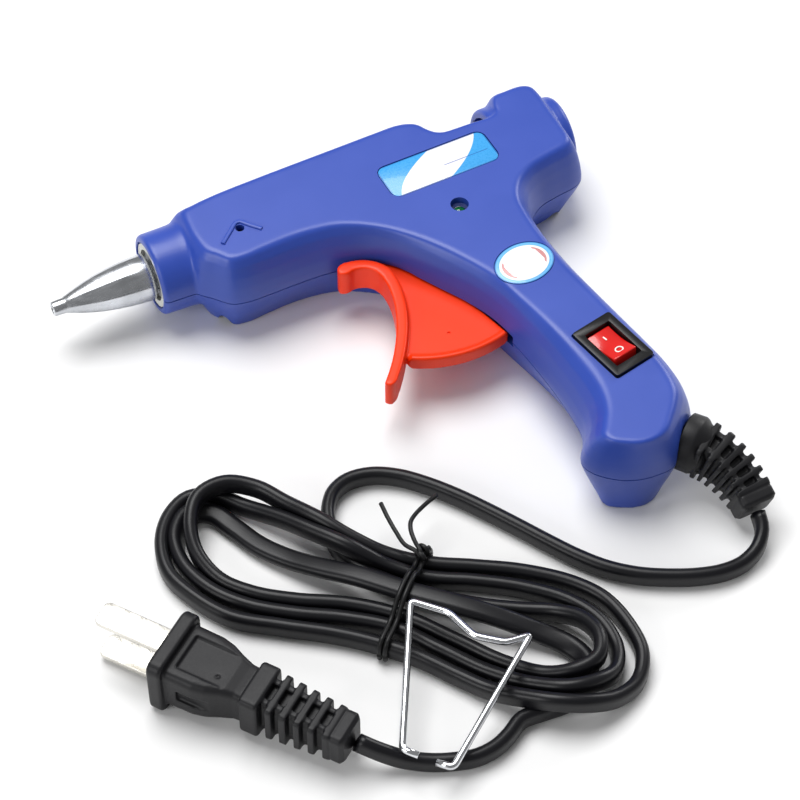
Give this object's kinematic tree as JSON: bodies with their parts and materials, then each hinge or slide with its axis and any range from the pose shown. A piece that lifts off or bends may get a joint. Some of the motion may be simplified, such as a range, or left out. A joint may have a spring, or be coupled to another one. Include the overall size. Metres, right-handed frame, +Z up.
{
  "type": "glue gun",
  "caption": "Hot-melt glue gun with a feed trigger, metal nozzle, rocker switch, indicator lamp, flat mains cord in a tied hank, two-blade plug and loose wire stand.",
  "frame": {"origin": "on the flat outer side of the right shell, on which the gun lies, straight below the axis of the barrel and 66 mm behind the front of the collar", "axes": "+X along the barrel from the nozzle to the rear inlet, +Y towards the top of the gun so that the handle points to -Y, +Z up through both shells"},
  "size_m": [0.1673, 0.1723, 0.0274],
  "materials": {
    "blue_abs": "satin moulded blue plastic",
    "screw_steel": "plain screw steel",
    "cast_aluminium": "turned and polished aluminium",
    "white_nylon": "natural nylon",
    "heater_ceramic": "unglazed ceramic",
    "spring_steel": "bright spring steel",
    "silicone_red": "soft red-brown silicone",
    "orange_plastic": "semi-gloss orange-red plastic",
    "black_plastic": "fine-grained black plastic",
    "red_plastic": "glossy red plastic",
    "brass_terminal": "bright brass",
    "green_lens": "clear green lens",
    "wire_insulation": "smooth wire insulation",
    "label_film": "printed film, sky blue and white",
    "sticker_film": "printed film, white with a light blue border",
    "black_pvc": "flexible black PVC with a soft sheen",
    "nickel_blade": "nickel-plated brass",
    "tie_plastic": "plastic-coated tie wire",
    "bright_wire": "bright zinc-plated wire"
  },
  "bodies": {
    "housing": {"left_shell": "blue_abs", "right_shell": "blue_abs", "shell_screw_1": "screw_steel", "shell_screw_2": "screw_steel", "shell_screw_3": "screw_steel", "shell_screw_4": "screw_steel", "nozzle": "cast_aluminium", "heating_chamber": "cast_aluminium", "nozzle_bush": "white_nylon", "heater_element": "heater_ceramic", "lamp_resistor": "heater_ceramic", "heater_clip": "spring_steel", "return_spring": "spring_steel", "trigger_pin": "spring_steel", "inlet_sleeve": "silicone_red", "switch_body": "black_plastic", "switch_terminal_1": "brass_terminal", "switch_terminal_2": "brass_terminal", "indicator_lamp": "green_lens", "wire_gland_switch": "wire_insulation", "wire_gland_heater": "wire_insulation", "wire_switch_heater": "wire_insulation", "name_plate": "label_film", "oval_sticker": "sticker_film", "strain_relief": "black_pvc", "cord_lead": "black_pvc", "cord_hank": "black_pvc", "cord_tail": "black_pvc", "plug_body": "black_pvc", "plug_blade_1": "nickel_blade", "plug_blade_2": "nickel_blade", "cord_tie": "tie_plastic"},
    "trigger": {"trigger": "orange_plastic"},
    "carriage": {"feed_carriage": "white_nylon", "claw_pin": "spring_steel"},
    "claw": {"clamp_claw": "spring_steel"},
    "rocker": {"switch_rocker": "red_plastic"},
    "stand": {"wire_stand": "bright_wire"}
  },
  "joints": [
    {"name": "trigger_pull", "type": "hinge", "parent": "housing", "child": "trigger", "pos_m": [-0.004, -0.0275, 0.013], "axis": [0, 0, 1], "range_deg": [0, 25], "stiffness_Nm_per_rad": 0.4, "springref_deg": -11.46, "deforming": ["return_spring"]},
    {"name": "carriage_feed", "type": "slide", "parent": "housing", "child": "carriage", "axis": [-1, 0, 0], "range_m": [0, 0.0079]},
    {"name": "claw_bite", "type": "hinge", "parent": "carriage", "child": "claw", "pos_m": [0.0062, -0.0082, 0.013], "axis": [0, 0, 1], "range_deg": [0, 5.2]},
    {"name": "rocker_tilt", "type": "hinge", "parent": "housing", "child": "rocker", "pos_m": [0.0219, -0.0792, 0.0232], "axis": [0.9763, 0.2164, 0], "range_deg": [0, 18]},
    {"name": "stand_lift", "type": "slide", "parent": "housing", "child": "stand", "axis": [0, 0, 1], "range_m": [0, 0.03]}
  ],
  "couplings": [
    {"joint": "carriage_feed", "follows": "trigger_pull", "m_per_rad": 0.01785},
    {"joint": "claw_bite", "follows": "trigger_pull", "ratio": 0.2}
  ]
}
